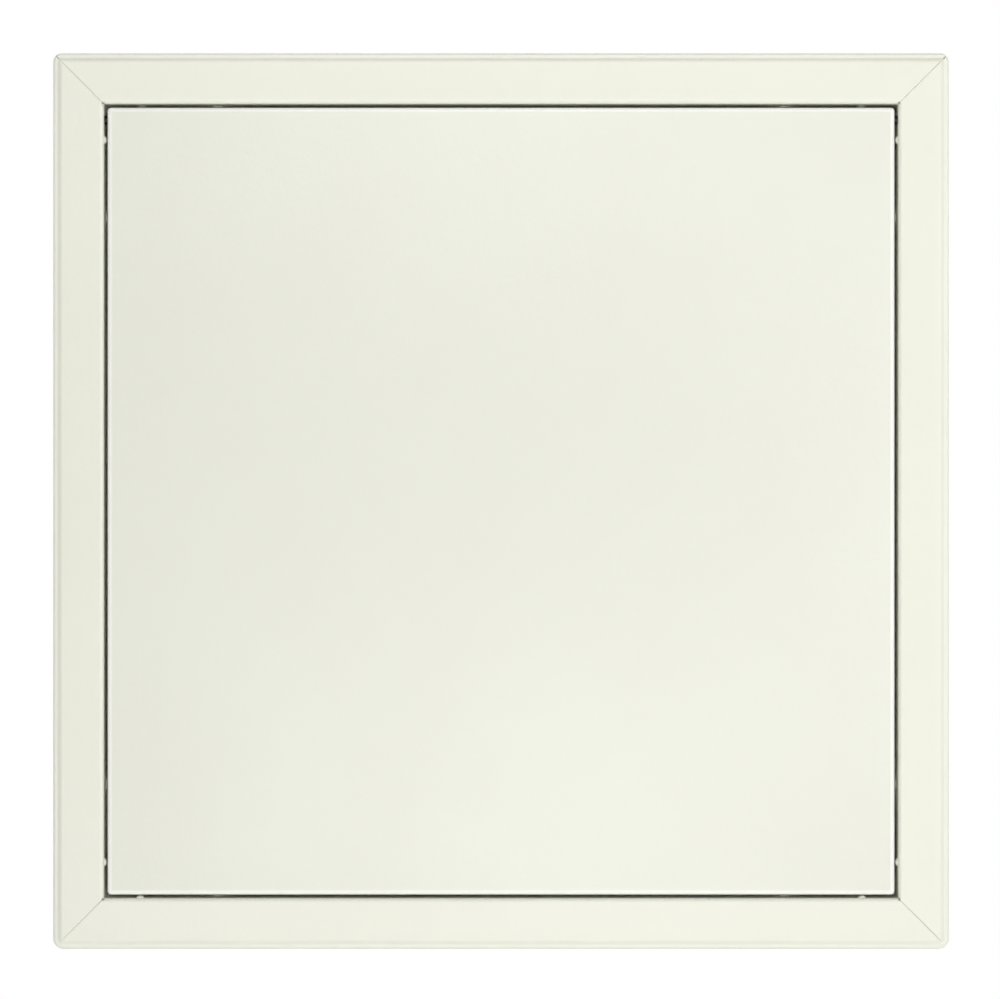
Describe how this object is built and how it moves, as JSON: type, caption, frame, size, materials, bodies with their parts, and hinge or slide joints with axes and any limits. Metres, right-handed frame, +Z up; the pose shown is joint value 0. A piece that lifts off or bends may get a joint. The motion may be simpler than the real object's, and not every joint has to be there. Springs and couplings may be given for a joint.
{
  "type": "ceiling access panel",
  "caption": "Square flush access panel: mitred sheet-steel frame with a folded door on sprung hinge pins, held by magnetic touch latches.",
  "frame": {"origin": "centre of the opening on the ceiling surface that the frame's hem lies on", "axes": "+X to the right along the face, +Z up the face to the hinge side, +Y back into the ceiling void; the face looks to -Y"},
  "size_m": [0.44, 0.0555, 0.44],
  "materials": {
    "powder_coat": "satin powder coat",
    "zinc": "galvanised",
    "bright_steel": "zinc-plated, satin",
    "black_steel": "blackened, oiled",
    "foam_seal": "closed-cell foam",
    "white_nylon": "moulded",
    "grey_plastic": "moulded",
    "magnet": "nickel-plated magnet"
  },
  "bodies": {
    "frame": {"frame_top": "powder_coat", "frame_right": "powder_coat", "frame_bottom": "powder_coat", "frame_left": "powder_coat", "corner_cleat_top_left": "zinc", "corner_cleat_top_right": "zinc", "corner_cleat_bottom_left": "zinc", "corner_cleat_bottom_right": "zinc", "gasket_top": "foam_seal", "gasket_right": "foam_seal", "gasket_bottom": "foam_seal", "gasket_left": "foam_seal", "hinge_bush_left": "white_nylon", "hinge_bush_right": "white_nylon", "latch_housing_left": "grey_plastic", "latch_housing_right": "grey_plastic", "latch_cap_left": "grey_plastic", "latch_cap_right": "grey_plastic", "latch_screws": "bright_steel", "latch_spring_left": "bright_steel", "latch_spring_right": "bright_steel"},
    "door": {"door_leaf": "powder_coat", "hinge_bracket_left": "zinc", "hinge_bracket_right": "zinc", "strike_plate_left": "zinc", "strike_plate_right": "zinc", "strike_rivets": "bright_steel", "hinge_spring_left": "bright_steel", "hinge_spring_right": "bright_steel"},
    "pin_left": {"hinge_pin_left": "black_steel", "pin_clip_left": "bright_steel"},
    "pin_right": {"hinge_pin_right": "black_steel", "pin_clip_right": "bright_steel"},
    "plunger_left": {"latch_plunger_left": "white_nylon", "magnet_left": "magnet"},
    "plunger_right": {"latch_plunger_right": "white_nylon", "magnet_right": "magnet"}
  },
  "joints": [
    {"name": "door_hinge", "type": "hinge", "parent": "frame", "child": "door", "pos_m": [0, -0.0004, 0.1874], "axis": [-1, 0, 0], "range_deg": [0, 100]},
    {"name": "pin_slide_left", "type": "slide", "parent": "door", "child": "pin_left", "axis": [1, 0, 0], "range_m": [0, 0.007], "stiffness_N_per_m": 300, "springref_m": -0.008, "deforming": ["hinge_spring_left"]},
    {"name": "pin_slide_right", "type": "slide", "parent": "door", "child": "pin_right", "axis": [-1, 0, 0], "range_m": [0, 0.007], "stiffness_N_per_m": 300, "springref_m": -0.008, "deforming": ["hinge_spring_right"]},
    {"name": "plunger_press_left", "type": "slide", "parent": "frame", "child": "plunger_left", "axis": [0, 1, 0], "range_m": [0, 0.003], "stiffness_N_per_m": 500, "springref_m": -0.006, "deforming": ["latch_spring_left"]},
    {"name": "plunger_press_right", "type": "slide", "parent": "frame", "child": "plunger_right", "axis": [0, 1, 0], "range_m": [0, 0.003], "stiffness_N_per_m": 500, "springref_m": -0.006, "deforming": ["latch_spring_right"]}
  ]
}
